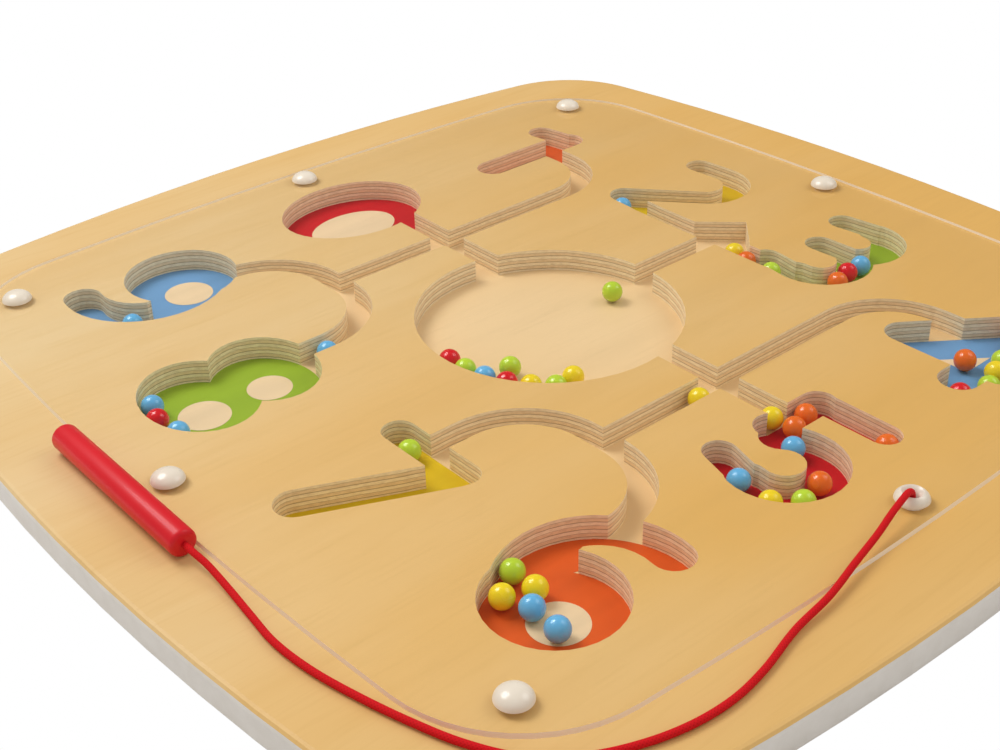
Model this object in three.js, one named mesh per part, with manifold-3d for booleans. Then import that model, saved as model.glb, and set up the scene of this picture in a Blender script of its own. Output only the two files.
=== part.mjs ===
// Number sorting board: steel balls roll under a clear cover, through channels cut in plywood,
// into ten number-shaped pockets. A magnet wand on a cord draws them along.
// Millimetres, +Z up. The origin is the middle of the underside, +Y is the top of the numbers.

import * as THREE from 'three';
import { mergeVertices } from 'three/addons/utils/BufferGeometryUtils.js';
import Module from 'manifold-3d';

const wasm = await Module();
wasm.setup();

// Panels
const BOARD_SIZE = 400;
const BOARD_CORNER_R = 45;
const BOARD_BULGE = 11;
const BACK_THICKNESS = 3;
const BACK_EDGE_R = 1.4;
const MAZE_EDGE_R = 2;
const COVER_SIZE = 341;
const COVER_CORNER_R = 48;
const COVER_BULGE = 4;
const COVER_THICKNESS = 2;

// Balls, and the room that they run in
const BALL_D = 8;
const BALL_HEADROOM = 1;
const BALL_GAP = 0.4;
const CHANNEL_CLEARANCE = 1.8;
const STROKE_CLEARANCE = 4;
const STEM_CLEARANCE = 6.4;

// Maze layout
const CIRCLE_R = 50.5;
const COLUMN_X = 74.2;
const CROSS_Y = 10.9;
const LINTEL_Y = 90.6;
const ROOF_RISE = 20;
const ROOF_HALF_WIDTH = 15;
const SHOULDER_Y = 102;
const SHOULDER_R = 26;
const FORK_Y = -44.6;
const FORK_R = 29;
const FORK_HALF_SPAN = 35;

// Middles of the number pockets
const OUTER_X = 119.5;
const INNER_X = 40;
const TOP_ROW_Y = 115.8;
const UPPER_ROW_Y = 94;
const MIDDLE_ROW_Y = -1;
const LOWER_ROW_Y = -97.5;
const BOTTOM_ROW_Y = -114.5;

// Rivets that hold the cover, and the bushing that the cord comes through
const RIVET_EDGE_DISTANCE = 9.5;
const RIVET_CORNER_INSET = 26.5;
const RIVET_HEAD_R = 5.6;
const RIVET_HEAD_H = 3.6;
const RIVET_SHANK_R = 2.6;
const RIVET_DEPTH = 7;
const HOLE_CLEARANCE = 0.3;
const BUSHING_SHANK_R = 4;
const BUSHING_DEPTH = 3.5;
const BUSHING_BORE_CLEARANCE = 0.8;
const BUSHING_FLARE = 1.6;

// Wand and cord
const WAND_LENGTH = 76.5;
const WAND_R = 4.6;
const WAND_CHAMFER = 1.3;
const WAND_X = -2.7;
const MAGNET_R = 2;
const MAGNET_LENGTH = 8;
const CORD_R = 1.1;
const KNOT_R = 3.3;
const KNOT_HALF_H = 2.4;
const SEAT_GAP = 0.3;

// Levels and derived sizes
const BALL_R = BALL_D / 2;
const MAZE_THICKNESS = BALL_D + BALL_HEADROOM;
const FLOOR_Z = BACK_THICKNESS;
const MAZE_TOP_Z = FLOOR_Z + MAZE_THICKNESS;
const COVER_TOP_Z = MAZE_TOP_Z + COVER_THICKNESS;
const CHANNEL_W = BALL_D + CHANNEL_CLEARANCE;
const STROKE_W = BALL_D + STROKE_CLEARANCE;
const STEM_W = BALL_D + STEM_CLEARANCE;
const BUSHING_BORE_R = CORD_R + BUSHING_BORE_CLEARANCE;
const BALL_PITCH = BALL_D + BALL_GAP;
const RIVET_SIDE = COVER_SIZE / 2 - RIVET_EDGE_DISTANCE;
const RIVET_CORNER = COVER_SIZE / 2 - RIVET_CORNER_INSET;
const BUSHING_AT = [RIVET_SIDE, 0];
const WAND_Y = -(COVER_SIZE / 2 + WAND_R + SEAT_GAP);
const WAND_Z = MAZE_TOP_Z + WAND_R + SEAT_GAP;
const WAND_END_X = WAND_X + WAND_LENGTH / 2;

// The cord's route, from the knot under the bushing to the end of the wand. It first runs over the
// cover, is measured there from the bushing and the cover's top, then lies on the wood round the
// cover's corner, and comes to the wand in line with it.
const CORD_FROM_BUSHING = [
  [0, 0, -5.6], [0, 0, -1], [0.05, -0.25, 1.1], [0.3, -1.4, 3.3], [0.9, -4, 4.7], [1.8, -8, 4.9],
  [3.2, -15, 4], [5.2, -24, 2.4], [8.2, -38, 1.5], [11.8, -54, 0.6],
];
const CORD_ROUND_CORNER = [
  [4.3, 99.5, 1.7], [8.5, 82, 1.3], [10.3, 68.5, 1.3], [9.4, 54.5, 1.3], [5.7, 40.5, 1.3], [-1, 26.7, 1.3],
  [-11, 15.3, 1.3], [-24, 7.7, 1.3], [-38.5, 2.4, 1.3], [-54, -2, 1.3], [-70.5, -5.5, 1.3],
];
const CORD_TO_WAND = [
  [49, -1.8, -3.6], [35, -0.5, -3.6], [22.5, 0.6, -3], [10.5, 0.8, -1.3], [4.5, 0.1, -0.2],
  [SEAT_GAP, 0, 0],
];
const CORD_ROUTE = [
  ...CORD_FROM_BUSHING.map(([x, y, z]) => [BUSHING_AT[0] + x, BUSHING_AT[1] + y, COVER_TOP_Z + z]),
  ...CORD_ROUND_CORNER.map(([x, y, z]) => [COVER_SIZE / 2 + x, y - COVER_SIZE / 2, MAZE_TOP_Z + z]),
  ...CORD_TO_WAND.map(([x, y, z]) => [WAND_END_X + x, WAND_Y + y, WAND_Z + z]),
];
const CORD_SIDES = 8;
const CORD_STEPS = 80;

// How far a straight piece may stray from the arc that it stands for
const CHORD_ERROR = 0.1;
const EDGE_STEPS = 3;
const LATHE_SEGMENTS = 16;
const WAND_SEGMENTS = 20;

const COLOURS = {
  red: 0xc4161c, orange: 0xe8641b, yellow: 0xe3cf12, green: 0x9cc626, blue: 0x5aa6d6,
};
const birch = new THREE.MeshStandardMaterial({ color: 0xe0b878, roughness: 0.55, metalness: 0 });
const acrylic = new THREE.MeshStandardMaterial({
  color: 0xf4f2ea, roughness: 0.05, metalness: 0, transparent: true, opacity: 0.2,
});
const whitePlastic = new THREE.MeshStandardMaterial({ color: 0xf3ece2, roughness: 0.3, metalness: 0 });
const redLacquer = new THREE.MeshStandardMaterial({ color: 0xc8121f, roughness: 0.25, metalness: 0 });
const redBraid = new THREE.MeshStandardMaterial({ color: 0xb8141c, roughness: 0.8, metalness: 0 });
const magnetSteel = new THREE.MeshStandardMaterial({ color: 0x9a9a9e, roughness: 0.3, metalness: 0.9 });

const object = new THREE.Group();

function addMesh(name, geometry, material, position = [0, 0, 0], parent = object) {
  const mesh = new THREE.Mesh(geometry, material);
  mesh.name = name;
  mesh.position.set(...position);
  parent.add(mesh);
  return mesh;
}

// Closed solids and their booleans

function toSolid(geometry) {
  const bare = geometry.clone();
  bare.deleteAttribute('normal');
  bare.deleteAttribute('uv');
  const merged = mergeVertices(bare, 1e-4);
  return new wasm.Manifold(new wasm.Mesh({
    numProp: 3,
    vertProperties: new Float32Array(merged.attributes.position.array),
    triVerts: new Uint32Array(merged.index.array),
  }));
}

function toGeometry(solid) {
  const mesh = solid.getMesh();
  const geometry = new THREE.BufferGeometry();
  geometry.setAttribute('position', new THREE.BufferAttribute(new Float32Array(mesh.vertProperties), 3));
  geometry.setIndex(new THREE.BufferAttribute(new Uint32Array(mesh.triVerts), 1));
  return geometry;
}

function prism(shape, low, high) {
  const geometry = new THREE.ExtrudeGeometry(shape, { depth: high - low, bevelEnabled: false });
  return geometry.translate(0, 0, low);
}

// Plan shapes

const radians = THREE.MathUtils.degToRad;

function polar(centre, radius, angle) {
  return [centre[0] + radius * Math.cos(angle), centre[1] + radius * Math.sin(angle)];
}

function ovalArc(centre, halfWidth, halfHeight, from, to) {
  const largestStep = 2 * Math.acos(1 - CHORD_ERROR / Math.max(halfWidth, halfHeight));
  const steps = 2 * Math.ceil(Math.abs(to - from) / largestStep / 2);
  return Array.from({ length: steps + 1 }, (_, step) => {
    const angle = from + (to - from) * step / steps;
    return [centre[0] + halfWidth * Math.cos(angle), centre[1] + halfHeight * Math.sin(angle)];
  });
}

function arc(centre, radius, from, to) {
  return ovalArc(centre, radius, radius, from, to);
}

// A closed outline; a point that repeats the one before it is left out
function polygon(points) {
  const apart = points.filter(([x, y], index) => {
    const [lastX, lastY] = points.at(index - 1);
    return Math.hypot(x - lastX, y - lastY) > 1e-6;
  });
  return new THREE.Shape(apart.map(([x, y]) => new THREE.Vector2(x, y)));
}

// A square with bowed sides that run smoothly into round corners
function bowedSquare(size, cornerR, bulge) {
  const half = size / 2;
  const cornerAt = half - bulge - cornerR;
  const sideR = (cornerAt ** 2 + (bulge + cornerR) ** 2 - cornerR ** 2) / (2 * bulge);
  const sideHalfAngle = Math.atan2(cornerAt, cornerAt - half + sideR);
  const quarter = Math.PI / 2;
  return polygon([0, quarter, 2 * quarter, 3 * quarter].flatMap((turn) => {
    const sideCentre = polar([0, 0], half - sideR, turn);
    const cornerCentre = polar([0, 0], cornerAt * Math.SQRT2, turn + quarter / 2);
    return [
      ...arc(sideCentre, sideR, turn - sideHalfAngle, turn + sideHalfAngle),
      ...arc(cornerCentre, cornerR, turn + sideHalfAngle, turn + quarter - sideHalfAngle),
    ];
  }));
}

function disc(centre, radius) {
  return polygon(arc(centre, radius, 0, 2 * Math.PI));
}

function oval(centre, halfWidth, halfHeight) {
  return polygon(ovalArc(centre, halfWidth, halfHeight, 0, 2 * Math.PI));
}

// A straight stroke with round ends
function bar(from, to, width) {
  const left = Math.atan2(to[1] - from[1], to[0] - from[0]) + Math.PI / 2;
  return polygon([
    ...arc(to, width / 2, left - Math.PI, left),
    ...arc(from, width / 2, left, left + Math.PI),
  ]);
}

// A stroke along an arc, with round ends; angles in degrees, counter-clockwise
function bow(centre, radius, fromDegrees, toDegrees, width) {
  const from = radians(fromDegrees);
  const to = radians(toDegrees);
  return polygon([
    ...arc(centre, radius + width / 2, from, to),
    ...arc(polar(centre, radius, to), width / 2, to, to + Math.PI),
    ...arc(centre, radius - width / 2, to, from),
    ...arc(polar(centre, radius, from), width / 2, from + Math.PI, from + 2 * Math.PI),
  ]);
}

// Number pockets, each drawn from the middle of its number

const six = [
  disc([1, -11], 22),
  bow([6, 2], 24.9, 79, 215, STEM_W),
  disc([-13.2, 8.8], 3.8),
];

const POCKETS = {
  zero: { at: [-OUTER_X - 4.3, MIDDLE_ROW_Y], shapes: [oval([0, 0], 25.7, 31.5)] },
  one: {
    at: [-OUTER_X, UPPER_ROW_Y],
    shapes: [bar([4.3, -23], [4.3, 23], STEM_W), bar([4.3, 23], [-11.3, 20.5], STROKE_W)],
  },
  two: {
    at: [-INNER_X, TOP_ROW_Y],
    shapes: [
      bar([-12.5, 23.7], [0, 24.7], STROKE_W),
      bow([2, 10.2], 14.5, -38, 95, STROKE_W),
      bar([13.4, 1.3], [-14.5, -22], STROKE_W),
      bar([-14, LINTEL_Y - TOP_ROW_Y + 1], [6, LINTEL_Y - TOP_ROW_Y], CHANNEL_W),
    ],
  },
  three: {
    at: [INNER_X, TOP_ROW_Y],
    shapes: [
      bar([-13, 24], [2, 25.8], STROKE_W),
      bow([2.5, 12.4], 12.8, -55, 90, STROKE_W + 2),
      bar([-7, 1.3], [9, 1.8], STROKE_W),
      bow([2.3, -10.3], 13.6, -95, 55, STROKE_W + 2),
      bar([2, -25], [-14, -22.8], STROKE_W),
    ],
  },
  four: {
    at: [OUTER_X, UPPER_ROW_Y],
    shapes: [
      bar([10.5, -24], [10.5, 24], STEM_W),
      bar([-19.5, -12.2], [18.5, -12.2], STROKE_W),
      bar([-21, -11], [4, 22], STEM_W),
      polygon([[-21, -11], [10.5, -12.2], [10.5, 22], [4, 22]]),
    ],
  },
  five: {
    at: [OUTER_X, MIDDLE_ROW_Y],
    shapes: [
      bar([-12.2, 25], [14, 25], STROKE_W),
      bar([-12.6, 25], [-12.6, 3.2], STROKE_W + 1),
      disc([-13.1, 3.2], 7.4),
      bow([2.3, -10.9], 14.2, -105, 135, STROKE_W + 2),
      bar([-1.2, -25], [-15.5, -20.8], STROKE_W),
    ],
  },
  six: { at: [OUTER_X, LOWER_ROW_Y], shapes: six },
  seven: {
    at: [INNER_X + 1.5, BOTTOM_ROW_Y],
    shapes: [bar([-16.2, 24.5], [16.8, 24.5], STROKE_W), bar([15.2, 23], [-6, -23], STEM_W)],
  },
  eight: {
    at: [1.5 - INNER_X, BOTTOM_ROW_Y],
    shapes: [oval([0, 13.5], 23.3, 19), oval([0, -12.6], 24.6, 20.2)],
  },
  nine: { at: [-OUTER_X, LOWER_ROW_Y], turn: Math.PI, shapes: six },
};

// Channels that join the pockets to the circle in the middle

function sideColumn(side) {
  const shoulderX = side * (COLUMN_X + SHOULDER_R);
  const shoulderY = SHOULDER_Y - SHOULDER_R;
  const shoulderTurn = side < 0 ? 0 : 90;
  const outerLeg = COLUMN_X + FORK_HALF_SPAN;
  const innerLeg = COLUMN_X - FORK_HALF_SPAN;
  const bendY = FORK_Y - FORK_R;
  const fork = [[side * outerLeg, side], [side * innerLeg, -side]].map(([legX, way]) =>
    bow([legX - way * FORK_R, bendY], FORK_R, way < 0 ? 90 : 0, way < 0 ? 180 : 90, CHANNEL_W));
  return [
    bar([side * COLUMN_X, shoulderY], [side * COLUMN_X, FORK_Y], CHANNEL_W),
    bow([shoulderX, shoulderY], SHOULDER_R, shoulderTurn, shoulderTurn + 90, CHANNEL_W),
    bar([shoulderX, SHOULDER_Y], [side * (OUTER_X - 4), SHOULDER_Y], CHANNEL_W),
    bar([0, CROSS_Y], [side * (OUTER_X - 12), CROSS_Y], CHANNEL_W),
    bar([side * (outerLeg - FORK_R), FORK_Y], [side * (innerLeg + FORK_R), FORK_Y], CHANNEL_W),
    ...fork,
    bar([side * innerLeg, bendY], [side * innerLeg, BOTTOM_ROW_Y + 24], CHANNEL_W),
    bar([side * outerLeg, bendY], [side * outerLeg, LOWER_ROW_Y + 17.5], CHANNEL_W),
  ];
}

const lintelHigh = LINTEL_Y + CHANNEL_W / 2;
const CHANNELS = [
  bar([0, 0], [0, LINTEL_Y], CHANNEL_W),
  bar([-INNER_X, LINTEL_Y], [INNER_X - 10, LINTEL_Y], CHANNEL_W),
  polygon([
    [-ROOF_HALF_WIDTH, LINTEL_Y], [ROOF_HALF_WIDTH, LINTEL_Y],
    [ROOF_HALF_WIDTH, lintelHigh], [0, LINTEL_Y + ROOF_RISE], [-ROOF_HALF_WIDTH, lintelHigh],
  ]),
  ...sideColumn(-1),
  ...sideColumn(1),
];

// Turned pieces: profiles of [radius, height], spun about Z

function turned(profile, segments) {
  const points = profile.map(([radius, height]) => new THREE.Vector2(radius, height));
  return new THREE.LatheGeometry(points, segments).rotateX(Math.PI / 2);
}

// Rivet places: the corners and the middles of the sides, with the cord's bushing at the right

const RIVETS_AT = [
  [RIVET_CORNER, RIVET_CORNER], [0, RIVET_SIDE], [-RIVET_CORNER, RIVET_CORNER], [-RIVET_SIDE, 0],
  [-RIVET_CORNER, -RIVET_CORNER], [0, -RIVET_SIDE], [RIVET_CORNER, -RIVET_CORNER],
];

function fastenerHoles(low, high) {
  const rivetHoles = RIVETS_AT.map((at) => [at, RIVET_SHANK_R]);
  return [...rivetHoles, [BUSHING_AT, BUSHING_SHANK_R]].map(([[x, y], shankR]) => {
    const radius = shankR + HOLE_CLEARANCE;
    const hole = turned([[0, low], [radius, low], [radius, high], [0, high]], LATHE_SEGMENTS);
    return toSolid(hole.translate(x, y, 0));
  });
}

function cutAll(solid, cutters) {
  return cutters.reduce((rest, cutter) => rest.subtract(cutter), solid);
}

// Both wooden panels: rounded along one edge, square where they are glued together
function woodPanel(low, high, edgeR, roundedTop) {
  const outline = bowedSquare(BOARD_SIZE, BOARD_CORNER_R, BOARD_BULGE);
  const spare = 4 * edgeR;
  const start = roundedTop ? low - spare : low;
  const rounded = new THREE.ExtrudeGeometry(outline, {
    depth: high - low + spare - 2 * edgeR,
    bevelThickness: edgeR,
    bevelSize: edgeR,
    bevelOffset: -edgeR,
    bevelSegments: EDGE_STEPS,
  });
  rounded.translate(0, 0, start + edgeR);
  const slab = new THREE.BoxGeometry(2 * BOARD_SIZE, 2 * BOARD_SIZE, high - low);
  slab.translate(0, 0, (low + high) / 2);
  return toSolid(rounded).intersect(toSolid(slab));
}

function mazePanel() {
  const low = FLOOR_Z - MAZE_THICKNESS;
  const high = MAZE_TOP_Z + MAZE_THICKNESS;
  const pocketCutters = Object.values(POCKETS).flatMap(({ at, turn = 0, shapes }) =>
    shapes.map((shape) => toSolid(prism(shape, low, high).rotateZ(turn).translate(...at, 0))));
  const cutters = [
    toSolid(prism(disc([0, 0], CIRCLE_R), low, high)),
    ...CHANNELS.map((shape) => toSolid(prism(shape, low, high))),
    ...pocketCutters,
    ...fastenerHoles(low, high),
  ];
  return toGeometry(cutAll(woodPanel(FLOOR_Z, MAZE_TOP_Z, MAZE_EDGE_R, true), cutters));
}

function clearCover() {
  const outline = bowedSquare(COVER_SIZE, COVER_CORNER_R, COVER_BULGE);
  const plate = toSolid(prism(outline, MAZE_TOP_Z, COVER_TOP_Z));
  return toGeometry(cutAll(plate, fastenerHoles(FLOOR_Z, COVER_TOP_Z + COVER_THICKNESS)));
}

addMesh('back_panel', toGeometry(woodPanel(0, FLOOR_Z, BACK_EDGE_R, false)), birch);
addMesh('maze_panel', mazePanel(), birch);
addMesh('clear_cover', clearCover(), acrylic);

// The domed head's profile, from its rim up to a given radius at the top
function domeProfile(topR) {
  const steps = 4;
  const lastAngle = Math.acos(topR / RIVET_HEAD_R);
  return Array.from({ length: steps + 1 }, (_, step) => {
    const angle = lastAngle * step / steps;
    return [RIVET_HEAD_R * Math.cos(angle), RIVET_HEAD_H * Math.sin(angle)];
  });
}

function rivet() {
  const tip = -COVER_THICKNESS - RIVET_DEPTH;
  const head = domeProfile(0);
  head[head.length - 1][0] = 0;
  return turned([[0, tip], [RIVET_SHANK_R, tip], [RIVET_SHANK_R, 0], ...head], LATHE_SEGMENTS);
}

function bushing() {
  const tip = -COVER_THICKNESS - BUSHING_DEPTH;
  const mouthR = BUSHING_BORE_R + BUSHING_FLARE;
  const head = domeProfile(mouthR);
  const flareZ = head[head.length - 1][1] - BUSHING_FLARE;
  const profile = [
    [BUSHING_BORE_R, tip], [BUSHING_SHANK_R, tip], [BUSHING_SHANK_R, 0], ...head,
    [BUSHING_BORE_R, flareZ], [BUSHING_BORE_R, tip],
  ];
  return turned(profile, LATHE_SEGMENTS);
}

RIVETS_AT.forEach((at, index) => {
  addMesh(`cover_rivet_${index + 1}`, rivet(), whitePlastic, [...at, COVER_TOP_Z]);
});
addMesh('cord_bushing', bushing(), whitePlastic, [...BUSHING_AT, COVER_TOP_Z]);

// Wand: a lacquered barrel along X with a magnet let into its left end

function wandBarrel() {
  const end = WAND_LENGTH / 2;
  const socketR = MAGNET_R + SEAT_GAP;
  const socketFloor = MAGNET_LENGTH + SEAT_GAP - end;
  const profile = [
    [0, socketFloor], [socketR, socketFloor], [socketR, -end], [WAND_R - WAND_CHAMFER, -end],
    [WAND_R, WAND_CHAMFER - end], [WAND_R, end - WAND_CHAMFER], [WAND_R - WAND_CHAMFER, end], [0, end],
  ];
  return turned(profile, WAND_SEGMENTS).rotateY(Math.PI / 2);
}

function wandMagnet() {
  const half = MAGNET_LENGTH / 2;
  const profile = [[0, -half], [MAGNET_R, -half], [MAGNET_R, half], [0, half]];
  return turned(profile, WAND_SEGMENTS).rotateY(Math.PI / 2);
}

const wand = new THREE.Group();
wand.position.set(WAND_X, WAND_Y, WAND_Z);
object.add(wand);
addMesh('wand_barrel', wandBarrel(), redLacquer, [0, 0, 0], wand);
addMesh('wand_magnet', wandMagnet(), magnetSteel, [(MAGNET_LENGTH - WAND_LENGTH) / 2, 0, 0], wand);

// Cord, and the knot that keeps it in the bushing

function cordTube() {
  const section = new THREE.Shape(Array.from({ length: CORD_SIDES }, (_, side) => {
    const angle = 2 * Math.PI * side / CORD_SIDES;
    return new THREE.Vector2(CORD_R * Math.cos(angle), CORD_R * Math.sin(angle));
  }));
  const route = new THREE.CatmullRomCurve3(CORD_ROUTE.map((point) => new THREE.Vector3(...point)));
  return new THREE.ExtrudeGeometry(section, { steps: CORD_STEPS, extrudePath: route });
}

addMesh('cord', cordTube(), redBraid);
const knot = new THREE.IcosahedronGeometry(1, 1).scale(KNOT_R, KNOT_R, KNOT_HALF_H);
addMesh('cord_knot', knot, redBraid, [...BUSHING_AT, CORD_ROUTE[0][2] - SEAT_GAP - KNOT_HALF_H]);

// Balls: each group starts from a place in a pocket or channel, and its other balls lie from there
// by steps of one ball pitch

const ROW_COLOURS = ['red', 'green', 'blue', 'red', 'yellow', 'green'];
const ROW_MIDDLE_DEGREES = -67.5;
const ROW_WALL_GAP = 1.6;
const ROW_SPARE = 0.35;
const ROW_R = CIRCLE_R - BALL_R - ROW_WALL_GAP;

const pocketAt = (name, dx, dy) => [POCKETS[name].at[0] + dx, POCKETS[name].at[1] + dy];
const BALL_GROUPS = [
  { at: [-1.1, CIRCLE_R - 16.5], balls: [['green', 0, 0]] },
  { at: polar([0, 0], ROW_R - 1.17 * BALL_PITCH, radians(-66)), balls: [['green', 0, 0]] },
  { at: [COLUMN_X - 0.3, 1.6], balls: [['yellow', 0, 0]] },
  { at: [FORK_HALF_SPAN - COLUMN_X, FORK_Y - FORK_R], balls: [['blue', 0, 0]] },
  { at: pocketAt('two', -13, -24.6), balls: [['blue', 0, 0]] },
  { at: [9.1, LINTEL_Y + 2.6], balls: [['yellow', 0, 0], ['orange', 0.98, -0.27], ['green', 2.5, -0.26]] },
  {
    at: pocketAt('three', 10.9, -3.4),
    balls: [['red', 0, 0], ['blue', -0.02, 1.01], ['orange', 0.27, -1.07]],
  },
  { at: pocketAt('four', 0.9, -4.9), balls: [['orange', 0, 0]] },
  {
    at: pocketAt('four', 12.7, -4),
    balls: [['yellow', 0, 0], ['green', -0.32, 0.99], ['green', 0.45, -1.17]],
  },
  { at: pocketAt('four', 12.5, -25.1), balls: [['red', 0, 0]] },
  {
    at: pocketAt('four', 12, 15.5),
    balls: [['red', 0, 0], ['orange', 0.06, 1.11], ['red', -0.9, 0.65]],
  },
  {
    at: pocketAt('five', -21.1, 11.5),
    balls: [['yellow', 0, 0], ['orange', 1.06, 0.12], ['orange', 0.77, 1.17]],
  },
  { at: pocketAt('five', -4.9, 3), balls: [['blue', 0, 0]] },
  { at: pocketAt('five', 14.7, 26.2), balls: [['orange', 0, 0]] },
  { at: pocketAt('five', 13.1, -6.1), balls: [['orange', 0, 0], ['green', 0.33, -1.33]] },
  { at: pocketAt('five', 9.1, -25), balls: [['yellow', 0, 0]] },
  { at: pocketAt('five', -5, -23.4), balls: [['blue', 0, 0]] },
  {
    at: pocketAt('six', -9.4, -8.8),
    balls: [['yellow', 0, 0], ['green', -1.19, 0.01], ['yellow', -0.43, -1.13], ['blue', 0.68, -0.75]],
  },
  { at: pocketAt('six', 7.6, -15.8), balls: [['blue', 0, 0]] },
  { at: pocketAt('seven', -10, 23.8), balls: [['green', 0, 0]] },
  { at: pocketAt('eight', -2.7, -27.9), balls: [['red', 0, 0], ['blue', -1.05, 0.36], ['blue', 1.38, 0.16]] },
  { at: pocketAt('nine', 13.2, -18.7), balls: [['blue', 0, 0]] },
  { at: polar([0, 0], ROW_R - 0.63 * BALL_PITCH, radians(-30.3)), balls: [['yellow', 0, 0]] },
];

// A row of balls against the near wall of the circle
function rowAgainstWall() {
  const step = 2 * Math.asin((BALL_PITCH + ROW_SPARE) / 2 / ROW_R);
  const middle = (ROW_COLOURS.length - 1) / 2;
  return ROW_COLOURS.map((colour, index) =>
    ({ colour, at: polar([0, 0], ROW_R, radians(ROW_MIDDLE_DEGREES) + step * (index - middle)) }));
}

const groupedBalls = BALL_GROUPS.flatMap(({ at, balls }) => balls.map(([colour, right, up]) =>
  ({ colour, at: [at[0] + right * BALL_PITCH, at[1] + up * BALL_PITCH] })));

const ballMaterials = Object.fromEntries(Object.entries(COLOURS).map(([colour, hex]) =>
  [colour, new THREE.MeshStandardMaterial({ color: hex, roughness: 0.25, metalness: 0 })]));
const ballCount = {};
[...groupedBalls, ...rowAgainstWall()].forEach(({ colour, at }) => {
  ballCount[colour] = (ballCount[colour] ?? 0) + 1;
  const name = `${colour}_ball_${ballCount[colour]}`;
  const ball = new THREE.IcosahedronGeometry(BALL_R, 1);
  addMesh(name, ball, ballMaterials[colour], [...at, FLOOR_Z + BALL_R + SEAT_GAP]);
});

export default object;
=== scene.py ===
import math

import bpy
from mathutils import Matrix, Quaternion, Vector


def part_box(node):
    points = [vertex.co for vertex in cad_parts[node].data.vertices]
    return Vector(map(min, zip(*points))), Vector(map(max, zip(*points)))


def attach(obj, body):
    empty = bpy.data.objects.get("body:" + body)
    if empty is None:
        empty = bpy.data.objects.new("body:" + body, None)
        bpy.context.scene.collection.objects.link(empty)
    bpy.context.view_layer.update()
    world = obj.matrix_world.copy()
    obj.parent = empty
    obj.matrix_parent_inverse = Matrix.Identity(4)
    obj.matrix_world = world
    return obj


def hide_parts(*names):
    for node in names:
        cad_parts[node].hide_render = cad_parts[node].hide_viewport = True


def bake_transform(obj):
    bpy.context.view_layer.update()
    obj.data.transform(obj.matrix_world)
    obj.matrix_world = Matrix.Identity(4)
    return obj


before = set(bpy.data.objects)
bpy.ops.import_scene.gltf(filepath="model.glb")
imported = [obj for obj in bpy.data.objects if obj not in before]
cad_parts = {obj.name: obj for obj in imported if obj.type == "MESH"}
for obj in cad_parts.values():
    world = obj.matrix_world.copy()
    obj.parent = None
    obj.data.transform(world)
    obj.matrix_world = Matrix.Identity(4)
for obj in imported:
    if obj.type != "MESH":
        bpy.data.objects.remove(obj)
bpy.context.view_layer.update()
scene = bpy.context.scene
scene.view_settings.view_transform = "Standard"
MM = 0.001

# Levels and places of the CAD part, in millimetres
FLOOR_Z = 3
MAZE_TOP_Z = 12
COVER_TOP_Z = 14
BUSHING_AT = (161, 0)


# Camera

CAMERA_AT = Vector((0.35275, -0.32135, 0.27902))
CAMERA_TARGET = Vector((0.01208, -0.03474, 0.014))
CAMERA_ROLL_DEGREES = -1.457

camera = bpy.data.objects.new("camera", bpy.data.cameras.new("camera"))
scene.collection.objects.link(camera)
scene.camera = camera
camera.data.lens = 52.73
camera.data.sensor_width = 36
camera.data.shift_y = -0.022
camera.data.clip_start = 0.01
camera.location = CAMERA_AT
camera.rotation_mode = "QUATERNION"
roll = Quaternion((0, 0, 1), math.radians(CAMERA_ROLL_DEGREES))
camera.rotation_quaternion = (CAMERA_TARGET - CAMERA_AT).to_track_quat("-Z", "Y") @ roll


# Meshes

def add_mesh(name, points, faces, material, smooth=True, body="board", replaced=()):
    mesh = bpy.data.meshes.new(name)
    mesh.from_pydata([Vector(p) * MM for p in points], [], faces)
    mesh.validate()
    for polygon in mesh.polygons:
        polygon.use_smooth = smooth
    if smooth:
        mesh.set_sharp_from_angle(angle=math.radians(35))
    obj = bpy.data.objects.new(name, mesh)
    scene.collection.objects.link(obj)
    obj.data.materials.append(material)
    if replaced:
        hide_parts(*replaced)
    if body:
        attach(obj, body)
    return obj


def turned(profile, segments, closed=False):
    """Points and faces of a profile of (radius, height) spun about Z; a radius of 0 is a pole."""
    points, rings = [], []
    for radius, height in profile:
        count = 1 if radius == 0 else segments
        rings.append(range(len(points), len(points) + count))
        for step in range(count):
            angle = 2 * math.pi * step / segments
            points.append((radius * math.cos(angle), radius * math.sin(angle), height))
    faces = []
    pairs = list(zip(rings, rings[1:] + rings[:1])) if closed else list(zip(rings, rings[1:]))
    for low, high in pairs:
        for step in range(segments):
            after = (step + 1) % segments
            corners = [
                low[step % len(low)], low[after % len(low)],
                high[after % len(high)], high[step % len(high)],
            ]
            faces.append(list(dict.fromkeys(corners)))
    return points, faces


def moved(points, offset):
    return [tuple(a + b for a, b in zip(point, offset)) for point in points]


def arc(centre, radius, start, end, steps=24):
    angles = [math.radians(start + (end - start) * step / steps) for step in range(steps + 1)]
    return [(centre[0] + radius * math.cos(a), centre[1] + radius * math.sin(a)) for a in angles]


# Materials

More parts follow.
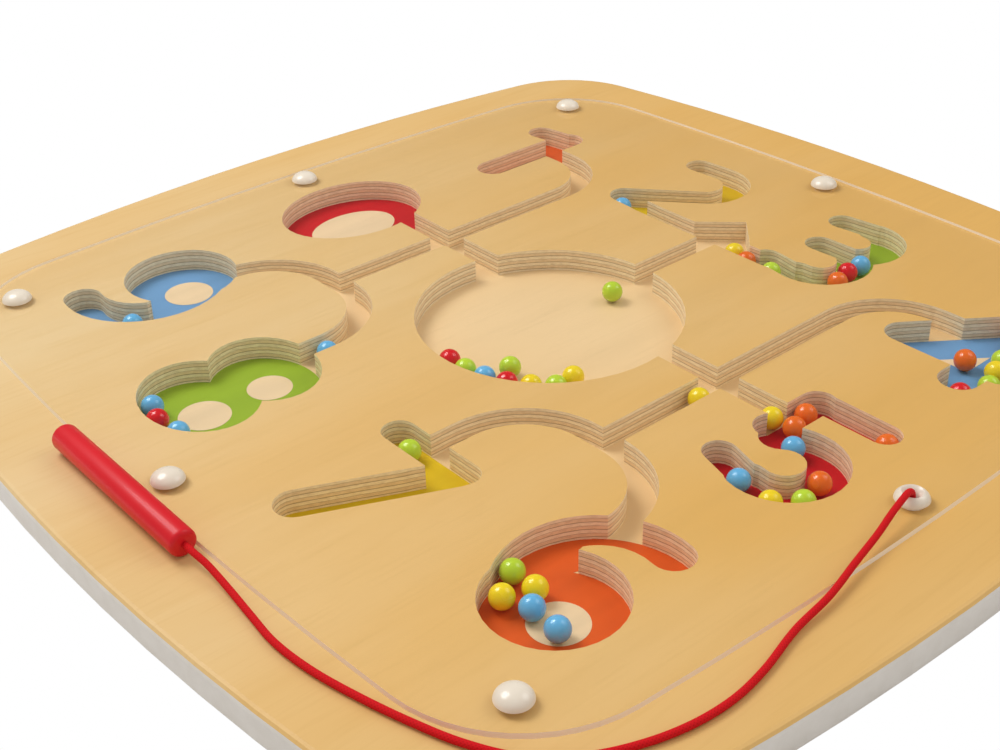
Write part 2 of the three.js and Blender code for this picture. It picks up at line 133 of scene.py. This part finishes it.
class Shader:
    """A material's node tree, with short names for the nodes that are used often."""

    def __init__(self, name):
        self.material = bpy.data.materials.new(name)
        self.material.use_nodes = True
        self.tree = self.material.node_tree
        self.bsdf = self.tree.nodes["Principled BSDF"]
        self.output = self.tree.nodes["Material Output"]

    def add(self, kind, inputs=(), **settings):
        node = self.tree.nodes.new(kind)
        for name, value in settings.items():
            setattr(node, name, value)
        for key, value in dict(inputs).items():
            self.feed(node.inputs[key], value)
        return node

    def feed(self, socket, value):
        if isinstance(value, bpy.types.NodeSocket):
            self.tree.links.new(value, socket)
        else:
            socket.default_value = value

    def set(self, **values):
        for name, value in values.items():
            self.feed(self.bsdf.inputs[name.replace("_", " ")], value)

    def split(self, vector):
        return self.add("ShaderNodeSeparateXYZ", {"Vector": vector}).outputs

    def place(self):
        return self.add("ShaderNodeTexCoord").outputs["Object"]

    def levelness(self):
        """1 where the surface lies flat, 0 where it stands upright."""
        normal = self.split(self.add("ShaderNodeNewGeometry").outputs["True Normal"])
        return self.math("ABSOLUTE", normal["Z"])

    def stretched(self, scale):
        return self.add("ShaderNodeMapping", {"Vector": self.place(), "Scale": scale}).outputs["Vector"]

    def noise(self, scale, detail=3, distortion=0):
        return self.add("ShaderNodeTexNoise", {
            "Vector": self.stretched(scale), "Scale": 1, "Detail": detail, "Distortion": distortion,
        }).outputs["Fac"]

    def ramp(self, factor, stops):
        node = self.add("ShaderNodeValToRGB", {"Fac": factor})
        elements = node.color_ramp.elements
        while len(elements) < len(stops):
            elements.new(0.5)
        for element, (position, colour) in zip(elements, stops):
            element.position = position
            element.color = (*colour, 1)
        return node.outputs["Color"]

    def fade(self, factor, start, end, most=1):
        """A grey that rises from black at start to most at end."""
        return self.ramp(factor, [(start, (0, 0, 0)), (end, (most, most, most))])

    def mix(self, factor, first, second):
        node = self.add("ShaderNodeMix", data_type="RGBA")
        for socket, value in zip((node.inputs[0], node.inputs[6], node.inputs[7]), (factor, first, second)):
            self.feed(socket, (*value, 1) if isinstance(value, tuple) else value)
        return node.outputs[2]

    def math(self, operation, first, second=0.0):
        node = self.add("ShaderNodeMath", operation=operation)
        self.feed(node.inputs[0], first)
        self.feed(node.inputs[1], second)
        return node.outputs[0]

    def bump(self, height, strength, distance):
        node = self.add("ShaderNodeBump", {"Height": height, "Strength": strength, "Distance": distance})
        return node.outputs["Normal"]

    def give_way(self, factor, other):
        """Shows the other shader node in place of the main one by the factor."""
        mixer = self.add("ShaderNodeMixShader", {0: factor, 1: self.bsdf.outputs[0], 2: other.outputs[0]})
        self.tree.links.new(mixer.outputs[0], self.output.inputs["Surface"])


def rgb(red, green, blue):
    """A linear colour from the 0 to 255 values that the picture shows."""
    return tuple(((c / 255 + 0.055) / 1.055) ** 2.4 if c > 10 else c / 3294 for c in (red, green, blue))


def shaded(colour, share):
    return tuple(c * share for c in colour)


def veneer_colour(shader, pale, deep):
    """Rotary-cut birch: painted light, paler towards -X and -Y on the key light's side and deeper towards +X
    and +Y, then soft clouds, faint streaks along Y, fine pores.
    """
    place = shader.split(shader.place())
    across = shader.math("ADD", shader.math("MULTIPLY", place["X"], 0.9), place["Y"])
    # Painted light: the veneer turns paler towards -X and -Y, where the key light falls from, and deeper
    # towards +X and +Y
    painted_glare = shader.math("ADD", shader.math("MULTIPLY", across, 1.6), 0.65)
    clouds = shader.math("SUBTRACT", shader.noise((12, 5, 12), detail=3), 0.5)
    streaks = shader.noise((70, 5, 40), detail=4, distortion=0.6)
    pores = shader.noise((700, 45, 400), detail=2)
    base = shader.mix(shader.math("ADD", painted_glare, shader.math("MULTIPLY", clouds, 1.1)), pale, deep)
    streaked = shader.mix(shader.fade(streaks, 0.45, 0.8, 0.3), base, shaded(deep, 0.86))
    return shader.mix(shader.fade(pores, 0.5, 0.85, 0.2), streaked, shaded(deep, 0.78))


# Two plies of the panels, and the distance from the middle beyond which a wall is the outside edge, in metres
TWO_PLIES = 0.0028
OUTSIDE_REACH = 0.165


def birch(name, pale, deep):
    """Plywood: veneer on its faces, plies on its cut walls, off-white paint round the outside edge."""
    shader = Shader(name)
    place = shader.split(shader.place())
    upright = shader.math("LESS_THAN", shader.levelness(), 0.5)
    reach = shader.math("MAXIMUM", shader.math("ABSOLUTE", place["X"]), shader.math("ABSOLUTE", place["Y"]))
    outside = shader.math("GREATER_THAN", reach, OUTSIDE_REACH)

    waver = shader.math("MULTIPLY", shader.noise((60, 60, 20), detail=2), 0.0008)
    height = shader.math("ADD", place["Z"], waver)
    layer = shader.math("FRACT", shader.math("DIVIDE", height, TWO_PLIES))
    plies = shader.ramp(layer, [
        (0.0, rgb(150, 112, 70)), (0.07, rgb(255, 238, 202)), (0.46, rgb(252, 234, 198)),
        (0.52, rgb(140, 104, 64)), (0.6, rgb(246, 220, 176)), (0.95, rgb(242, 216, 174)),
    ])
    fibres = shader.noise((420, 420, 1600), detail=3)
    cut = shader.mix(shader.fade(fibres, 0.4, 0.8, 0.4), plies, rgb(182, 148, 104))

    paint_spots = shader.noise((140, 140, 140), detail=3)
    paint = shader.mix(paint_spots, rgb(226, 219, 210), rgb(208, 199, 187))
    wall = shader.mix(outside, cut, paint)
    colour = shader.mix(upright, veneer_colour(shader, pale, deep), wall)
    grain = shader.noise((700, 30, 700), detail=3)
    shader.set(
        Base_Color=colour,
        Roughness=shader.math("ADD", 0.42, shader.math("MULTIPLY", grain, 0.14)),
        Normal=shader.bump(grain, 0.08, 0.0004),
    )
    shader.set(**{"Specular IOR Level": 0.35})
    return shader.material


def lacquered(name, colour, roughness=0.24, coat=0.4, spread=0.08):
    shader = Shader(name)
    cloud = shader.noise((70, 70, 70), detail=2)
    shader.set(
        Base_Color=shader.mix(cloud, shaded(colour, 1 - spread), shaded(colour, 1 + spread)),
        Roughness=shader.math("ADD", roughness, shader.math("MULTIPLY", cloud, 0.06)),
    )
    shader.set(**{"Coat Weight": coat, "Coat Roughness": 0.12, "Specular IOR Level": 0.35})
    return shader.material


def printed(name, colour):
    """Ink on birch: the grain shows faintly through it."""
    shader = Shader(name)
    streaks = shader.noise((120, 6, 60), detail=4)
    fine = shader.noise((900, 60, 400), detail=2)
    base = shader.mix(shader.fade(streaks, 0.35, 0.75), colour, shaded(colour, 0.86))
    shader.set(
        Base_Color=shader.mix(shader.math("MULTIPLY", fine, 0.22), base, shaded(colour, 0.74)),
        Roughness=shader.math("ADD", 0.5, shader.math("MULTIPLY", streaks, 0.12)),
    )
    shader.set(**{"Specular IOR Level": 0.2})
    return shader.material


CLEAR_TINT = (0.995, 0.995, 0.99)


def clear_sheet(name):
    """Clear on its faces; the sawn edge is frosted and painted near-white, partly painted light that the
    sheet gathers and lets out at its edge, so it shows as a pale line.
    """
    shader = Shader(name)
    smears = shader.noise((18, 30, 18), detail=3)
    flat = shader.math("GREATER_THAN", shader.levelness(), 0.5)
    # The near-white sawn edge is partly its frosted finish and partly painted light, a glow standing in for
    # light leaving the sheet at its edge
    frosted_edge_glow = shader.mix(smears, rgb(255, 246, 232), rgb(250, 236, 214))
    shader.set(
        Base_Color=shader.mix(flat, frosted_edge_glow, CLEAR_TINT),
        Roughness=shader.math("MULTIPLY", shader.math("SUBTRACT", smears, 0.4), 0.02),
        IOR=1.2,
    )
    shader.set(**{"Transmission Weight": 1.0, "Specular IOR Level": 0.5})
    shader.set(**{"Transmission Weight": flat})
    light = shader.add("ShaderNodeLightPath").outputs
    passes = shader.math("MAXIMUM", light["Is Shadow Ray"], light["Is Diffuse Ray"])
    shader.give_way(passes, shader.add("ShaderNodeBsdfTransparent", {"Color": (*CLEAR_TINT, 1)}))
    return shader.material


def moulded_white(name):
    shader = Shader(name)
    cloud = shader.noise((160, 160, 160), detail=2)
    shader.set(
        Base_Color=shader.mix(cloud, rgb(240, 228, 210), rgb(230, 216, 196)),
        Roughness=shader.math("ADD", 0.24, shader.math("MULTIPLY", cloud, 0.08)),
    )
    shader.set(**{"Coat Weight": 0.4, "Coat Roughness": 0.12})
    return shader.material


def braided(name, colour):
    """Fine braid: two sets of slanting strands, drawn from the tube's own UV map, with painted shade in the
    grooves between strands and painted light on the strand crowns.
    """
    shader = Shader(name)
    uv = shader.split(shader.add("ShaderNodeUVMap", uv_map="braid").outputs["UV"])

    def strands(operation):
        turns = shader.math(operation, uv["X"], uv["Y"])
        return shader.math("SINE", shader.math("MULTIPLY", turns, 2 * math.pi))

    one = strands("ADD")
    two = strands("SUBTRACT")
    weave = shader.math("ADD", shader.math("MULTIPLY", shader.math("MAXIMUM", one, two), 0.5), 0.5)
    fuzz = shader.noise((2500, 2500, 2500), detail=2)
    # Painted shade and light: the grooves between strands are darker and the strand crowns lighter
    weave_shade = shader.mix(weave, shaded(colour, 0.78), shaded(colour, 1.06))
    shader.set(
        Base_Color=shader.mix(shader.math("MULTIPLY", fuzz, 0.2), weave_shade, shaded(colour, 0.8)),
        Roughness=shader.math("ADD", 0.7, shader.math("MULTIPLY", fuzz, 0.2)),
        Normal=shader.bump(weave, 0.3, 0.0002),
    )
    shader.set(**{"Specular IOR Level": 0.2})
    return shader.material


def plated(name):
    shader = Shader(name)
    brushed = shader.noise((60, 900, 900), detail=2)
    shader.set(
        Base_Color=shader.mix(brushed, rgb(170, 170, 174), rgb(200, 200, 204)),
        Roughness=shader.math("ADD", 0.2, shader.math("MULTIPLY", brushed, 0.15)),
        Metallic=1.0,
    )
    return shader.material


wood = birch("birch", rgb(225, 195, 144), rgb(221, 172, 92))
back_wood = birch("birch_back", rgb(240, 210, 164), rgb(230, 194, 140))
white = moulded_white("white_plastic")
clear = clear_sheet("clear_acrylic")
red_lacquer = lacquered("red_lacquer", rgb(216, 12, 28), roughness=0.42, coat=0.15, spread=0.05)
red_braid = braided("red_braid", rgb(208, 10, 20))
magnet = plated("magnet")
BALL_COLOURS = {
    "red": rgb(220, 14, 26), "orange": rgb(236, 106, 20), "yellow": rgb(244, 214, 24),
    "green": rgb(188, 216, 52), "blue": rgb(104, 180, 226),
}
ball_paint = {name: lacquered(f"{name}_ball_paint", colour) for name, colour in BALL_COLOURS.items()}
PRINT_COLOURS = {
    "red": rgb(200, 12, 24), "orange": rgb(226, 92, 26), "yellow": rgb(222, 186, 20),
    "green": rgb(150, 178, 42), "blue": rgb(110, 156, 200), "cream": rgb(237, 208, 166),
}
print_ink = {name: printed(f"{name}_print", colour) for name, colour in PRINT_COLOURS.items()}


# Cord: the same points as in the CAD source, in metres

CORD_R = 0.0011
STRANDS_ROUND = 6
CORD_ROUTE = [
    (0.161, 0, 0.0084), (0.161, 0, 0.013), (0.16105, -0.00025, 0.0151), (0.1613, -0.0014, 0.0173),
    (0.1619, -0.004, 0.0187), (0.1628, -0.008, 0.0189), (0.1642, -0.015, 0.018), (0.1662, -0.024, 0.0164),
    (0.1692, -0.038, 0.0155), (0.1728, -0.054, 0.0146), (0.1748, -0.071, 0.0137), (0.179, -0.0885, 0.0133),
    (0.1808, -0.102, 0.0133), (0.1799, -0.116, 0.0133), (0.1762, -0.13, 0.0133), (0.1695, -0.1438, 0.0133),
    (0.1595, -0.1552, 0.0133), (0.1465, -0.1628, 0.0133), (0.132, -0.1681, 0.0133), (0.1165, -0.1725, 0.0133),
    (0.1, -0.176, 0.0133), (0.08455, -0.1772, 0.0133), (0.07055, -0.1759, 0.0133), (0.05805, -0.1748, 0.0139),
    (0.04605, -0.1746, 0.0156), (0.04005, -0.1753, 0.0167), (0.03585, -0.1754, 0.0169),
]


def smooth_route(points, steps=10):
    """Centripetal Catmull-Rom through the points."""
    points = [Vector(p) for p in points]
    padded = [2 * points[0] - points[1], *points, 2 * points[-1] - points[-2]]
    line = []
    for a, b, c, d in zip(padded, padded[1:], padded[2:], padded[3:]):
        t1 = math.sqrt((b - a).length)
        t2 = t1 + math.sqrt((c - b).length)
        t3 = t2 + math.sqrt((d - c).length)
        for step in range(steps):
            t = t1 + (t2 - t1) * step / steps
            ab = a + (b - a) * (t / t1)
            bc = b + (c - b) * ((t - t1) / (t2 - t1))
            cd = c + (d - c) * ((t - t2) / (t3 - t2))
            abc = ab + (bc - ab) * (t / t2)
            bcd = bc + (cd - bc) * ((t - t1) / (t3 - t1))
            line.append(abc + (bcd - abc) * ((t - t1) / (t2 - t1)))
    return [*line, points[-1]]


def cord_mesh(line, radius, sides=16):
    """Points in millimetres, faces, braid UVs and the length in metres of a tube along the line."""
    points, faces, uvs = [], [], []
    side = Vector((1, 0, 0))
    run = 0.0
    runs = []
    for index, at in enumerate(line):
        ahead = (line[min(index + 1, len(line) - 1)] - line[max(index - 1, 0)]).normalized()
        side = (side - ahead * side.dot(ahead)).normalized()
        over = ahead.cross(side)
        run += (at - line[index - 1]).length if index else 0
        runs.append(run)
        for step in range(sides):
            angle = 2 * math.pi * step / sides
            points.append(at + (side * math.cos(angle) + over * math.sin(angle)) * radius)
    for ring in range(len(line) - 1):
        for step in range(sides):
            after = (step + 1) % sides
            first = ring * sides
            faces.append([first + step, first + after, first + sides + after, first + sides + step])
            left, right = STRANDS_ROUND * step / sides, STRANDS_ROUND * (step + 1) / sides
            low, high = runs[ring] / radius, runs[ring + 1] / radius
            uvs += [(left, low), (right, low), (right, high), (left, high)]
    for end, order in ((0, range(sides - 1, -1, -1)), ((len(line) - 1) * sides, range(sides))):
        faces.append([end + step for step in order])
        uvs += [(0, 0)] * sides
    return [p / MM for p in points], faces, uvs, run


cord_line = smooth_route(CORD_ROUTE)
points, faces, uvs, cord_length = cord_mesh(cord_line, CORD_R)
cord = add_mesh("cord_braid", points, faces, red_braid, body=None, replaced=["cord"])
braid_map = cord.data.uv_layers.new(name="braid")
for loop, uv in zip(braid_map.data, uvs):
    loop.uv = uv
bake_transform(cord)


# Looks of the CAD nodes that stay, and the cover a hair above the wood that it lies on

CAD_LOOKS = {"maze_panel": wood, "back_panel": back_wood, "wand_magnet": magnet, "cord_knot": red_braid}
for name, material in CAD_LOOKS.items():
    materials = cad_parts[name].data.materials
    materials.clear()
    materials.append(material)

COVER_LIFT = 0.05
cover_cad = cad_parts["clear_cover"].data
cover_points = [Vector(vertex.co) / MM for vertex in cover_cad.vertices]
cover_points = [(x, y, max(z, MAZE_TOP_Z + COVER_LIFT)) for x, y, z in cover_points]
cover_faces = [list(polygon.vertices) for polygon in cover_cad.polygons]
add_mesh("cover_sheet", cover_points, cover_faces, clear, smooth=False,
         replaced=["clear_cover"])


# Printed floors of the number pockets, as flat plates just above the back panel

INK_Z = FLOOR_Z + 0.04
INK_STEP = 0.01
CREAM_Z = FLOOR_Z + 0.12


def disc(centre, radius):
    return arc(centre, radius, 0, 360, 40)[:-1]


def oval(centre, half_width, half_height):
    return [(centre[0] + half_width * x, centre[1] + half_height * y) for x, y in disc((0, 0), 1)]


def bar(start, end, width):
    left = math.degrees(math.atan2(end[1] - start[1], end[0] - start[0])) + 90
    return arc(end, width / 2, left - 180, left) + arc(start, width / 2, left, left + 180)


def bow(centre, radius, start, end, width):
    half = width / 2

    def end_round(angle, first):
        tip = arc(centre, radius, angle, angle, 1)[0]
        return arc(tip, half, first, first + 180)[1:-1]

    return [
        *arc(centre, radius + half, start, end), *end_round(end, end),
        *arc(centre, radius - half, end, start), *end_round(start, start + 180),
    ]


# Widths of the cut strokes. Each number has its ink, its middle, its turn in degrees, the outlines of its
# print and those of its pale counters, as in the CAD source.
STROKE = 12
ROUND_STROKE = 14
STEM = 14.4
FOOT = 9.8
six = [disc((1, -11), 22), bow((6, 2), 24.9, 79, 215, STEM)]
NUMBERS = {
    "zero": ("red", (-123.8, -1), 0, [oval((0, 0), 25.7, 31.5)], [oval((0, 0), 13.7, 19.5)]),
    "one": ("orange", (-119.5, 94), 0, [
        bar((4.3, -23), (4.3, 23), STEM), bar((4.3, 23), (-11.3, 20.5), STROKE),
    ], []),
    "two": ("yellow", (-40, 115.8), 0, [
        bar((-12.5, 23.7), (0, 24.7), STROKE), bow((2, 10.2), 14.5, -38, 95, STROKE),
        bar((13.4, 1.3), (-14.5, -22), STROKE), bar((-14, -24.2), (6, -25.2), FOOT),
    ], []),
    "three": ("green", (40, 115.8), 0, [
        bar((-13, 24), (2, 25.8), STROKE), bow((2.5, 12.4), 12.8, -55, 90, ROUND_STROKE),
        bar((-7, 1.3), (9, 1.8), STROKE), bow((2.3, -10.3), 13.6, -95, 55, ROUND_STROKE),
        bar((2, -25), (-14, -22.8), STROKE),
    ], []),
    "four": ("blue", (119.5, 94), 0, [
        bar((10.5, -24), (10.5, 24), STEM), bar((-19.5, -12.2), (18.5, -12.2), STROKE),
        bar((-21, -11), (4, 22), STEM), [(-21, -11), (10.5, -12.2), (10.5, 22), (4, 22)],
    ], [[(-9, -5), (2.5, -5), (2.5, 9.5)]]),
    "five": ("red", (119.5, -1), 0, [
        bar((-12.2, 25), (14, 25), STROKE), bar((-12.6, 25), (-12.6, 3.2), STROKE + 1),
        disc((-13.1, 3.2), 7.4), bow((2.3, -10.9), 14.2, -105, 135, ROUND_STROKE),
        bar((-1.2, -25), (-15.5, -20.8), STROKE),
    ], []),
    "six": ("orange", (119.5, -97.5), 0, six, [disc((2.6, -10.9), 9.4)]),
    "seven": ("yellow", (41.5, -114.5), 0, [
        bar((-16.2, 24.5), (16.8, 24.5), STROKE), bar((15.2, 23), (-6, -23), STEM),
    ], []),
    "eight": ("green", (-38.5, -114.5), 0, [
        oval((0, 13.5), 23.3, 19), oval((0, -12.6), 24.6, 20.2),
    ], [disc((0, 15), 8.2), disc((0, -11.6), 9.3)]),
    "nine": ("blue", (-119.5, -97.5), 180, six, [disc((0.7, -13.2), 9.5)]),
}


def plates(name, outlines, at, turn, height, material):
    points, faces = [], []
    cosine, sine = math.cos(math.radians(turn)), math.sin(math.radians(turn))
    for index, outline in enumerate(outlines):
        level = height + INK_STEP * index
        faces.append(list(range(len(points), len(points) + len(outline))))
        points += [(at[0] + x * cosine - y * sine, at[1] + x * sine + y * cosine, level) for x, y in outline]
    add_mesh(name, points, faces, material, smooth=False)


for number, (ink, at, turn, strokes, counters) in NUMBERS.items():
    plates(f"print_{number}", strokes, at, turn, INK_Z, print_ink[ink])
    if counters:
        plates(f"counter_{number}", counters, at, turn, CREAM_Z, print_ink["cream"])


# Balls, rivets, bushing and wand: smooth shapes in place of the faceted ones

def middle_of(node):
    low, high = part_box(node)
    return tuple((low + high) / 2 / MM)


BALL_R = 4
BALL_RINGS = 24
latitudes = [math.pi * (step / BALL_RINGS - 0.5) for step in range(1, BALL_RINGS)]
ball_curve = [(BALL_R * math.cos(angle), BALL_R * math.sin(angle)) for angle in latitudes]
ball_points, ball_faces = turned([(0, -BALL_R), *ball_curve, (0, BALL_R)], 32)
for node in [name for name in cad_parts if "_ball_" in name]:
    colour = node.split("_")[0]
    add_mesh(f"{node}_smooth", moved(ball_points, middle_of(node)), ball_faces, ball_paint[colour],
             body=node, replaced=[node])

HEAD_R = 5.6
HEAD_H = 3.6
RIVET_SHANK_R = 2.6
RIVET_DEPTH = 9
BUSHING_SHANK_R = 4
BUSHING_DEPTH = 5.5
BUSHING_BORE_R = 1.9
BUSHING_MOUTH_R = 3.5
BUSHING_FLARE = [(2.9, 2.4), (2.1, 1.5), (BUSHING_BORE_R, 0.9)]
HEAD_RIM = [(HEAD_R - 0.3, 0), (HEAD_R, 0.25)]


def dome(top_radius, steps=12):
    """The head's curve above its rim, up to the given radius."""
    last = math.acos(top_radius / HEAD_R)
    angles = [last * step / steps for step in range(2, steps + 1)]
    return [(HEAD_R * math.cos(angle), HEAD_H * math.sin(angle)) for angle in angles]


rivet_profile = [
    (0, -RIVET_DEPTH), (RIVET_SHANK_R, -RIVET_DEPTH), (RIVET_SHANK_R, 0),
    *HEAD_RIM, *dome(0)[:-1], (0, HEAD_H),
]
rivet_points, rivet_faces = turned(rivet_profile, 48)
for number in range(1, 8):
    x, y, _ = middle_of(f"cover_rivet_{number}")
    add_mesh(f"rivet_{number}_smooth", moved(rivet_points, (x, y, COVER_TOP_Z)), rivet_faces, white,
             replaced=[f"cover_rivet_{number}"])

bushing_profile = [
    (BUSHING_BORE_R, -BUSHING_DEPTH), (BUSHING_SHANK_R, -BUSHING_DEPTH), (BUSHING_SHANK_R, 0),
    *HEAD_RIM, *dome(BUSHING_MOUTH_R), *BUSHING_FLARE,
]
points, faces = turned(bushing_profile, 48, closed=True)
add_mesh("bushing_smooth", moved(points, (*BUSHING_AT, COVER_TOP_Z)), faces, white,
         replaced=["cord_bushing"])

WAND_HALF = 38.25
SOCKET_R = 2.3
SOCKET_FLOOR = -29.95
WAND_END = [(3.3, 0), (3.95, 0.3), (4.4, 0.8), (4.6, 1.5)]
wand_profile = [
    (0, SOCKET_FLOOR), (SOCKET_R, SOCKET_FLOOR), (SOCKET_R, -WAND_HALF),
    *((radius, inset - WAND_HALF) for radius, inset in WAND_END),
    *((radius, WAND_HALF - inset) for radius, inset in reversed(WAND_END)), (0, WAND_HALF),
]
points, faces = turned(wand_profile, 64)
wand_points = moved([(z, y, -x) for x, y, z in points], middle_of("wand_barrel"))
add_mesh("wand_smooth", wand_points, faces, red_lacquer, body="wand",
         replaced=["wand_barrel"])


# Studio: white floor and sky, a broad soft light from the left and a weaker one from behind

STAGE_HALF = 4000
STAGE_Z = -0.5
SKY_LIGHT = 0.6
SKY_SEEN = 1.0
SKY_LESS_IN_GLOSS = 0.5


def stage_floor():
    shader = Shader("studio_floor")
    grain = shader.noise((4, 4, 4), detail=2)
    shader.set(Base_Color=shader.mix(grain, (0.86, 0.86, 0.86), (0.9, 0.9, 0.9)), Roughness=0.9)
    seen = shader.add("ShaderNodeLightPath").outputs["Is Camera Ray"]
    shader.give_way(seen, shader.add("ShaderNodeEmission", {"Color": (1, 1, 1, 1), "Strength": 1}))
    corners = [(x * STAGE_HALF, y * STAGE_HALF, STAGE_Z) for x, y in ((-1, -1), (1, -1), (1, 1), (-1, 1))]
    floor = add_mesh("floor", corners, [[0, 1, 2, 3]], shader.material, smooth=False, body=None)


def studio_sky():
    world = bpy.data.worlds.new("studio")
    scene.world = world
    world.use_nodes = True
    nodes, links = world.node_tree.nodes, world.node_tree.links
    background = nodes["Background"]
    background.inputs["Color"].default_value = (1, 1, 1, 1)
    path = nodes.new("ShaderNodeLightPath")
    ambient = nodes.new("ShaderNodeMapRange")
    ambient.inputs["To Min"].default_value = SKY_LIGHT
    ambient.inputs["To Max"].default_value = SKY_SEEN
    links.new(path.outputs["Is Camera Ray"], ambient.inputs["Value"])
    dimmed = nodes.new("ShaderNodeMath")
    dimmed.operation = "MULTIPLY_ADD"
    links.new(path.outputs["Is Glossy Ray"], dimmed.inputs[0])
    dimmed.inputs[1].default_value = -SKY_LESS_IN_GLOSS
    links.new(ambient.outputs["Result"], dimmed.inputs[2])
    links.new(dimmed.outputs[0], background.inputs["Strength"])


def area_light(name, at, target, size, power):
    light = bpy.data.lights.new(name, "AREA")
    light.shape = "DISK"
    light.size = size
    light.energy = power
    obj = bpy.data.objects.new(name, light)
    scene.collection.objects.link(obj)
    obj.location = at
    obj.rotation_mode = "QUATERNION"
    obj.rotation_quaternion = (Vector(target) - Vector(at)).to_track_quat("-Z", "Y")


stage_floor()
studio_sky()
area_light("key", (-0.75, -0.35, 1.25), (0, 0, 0), 0.8, 12)
area_light("fill", (0.5, 0.9, 1.1), (0, 0, 0), 0.9, 4)
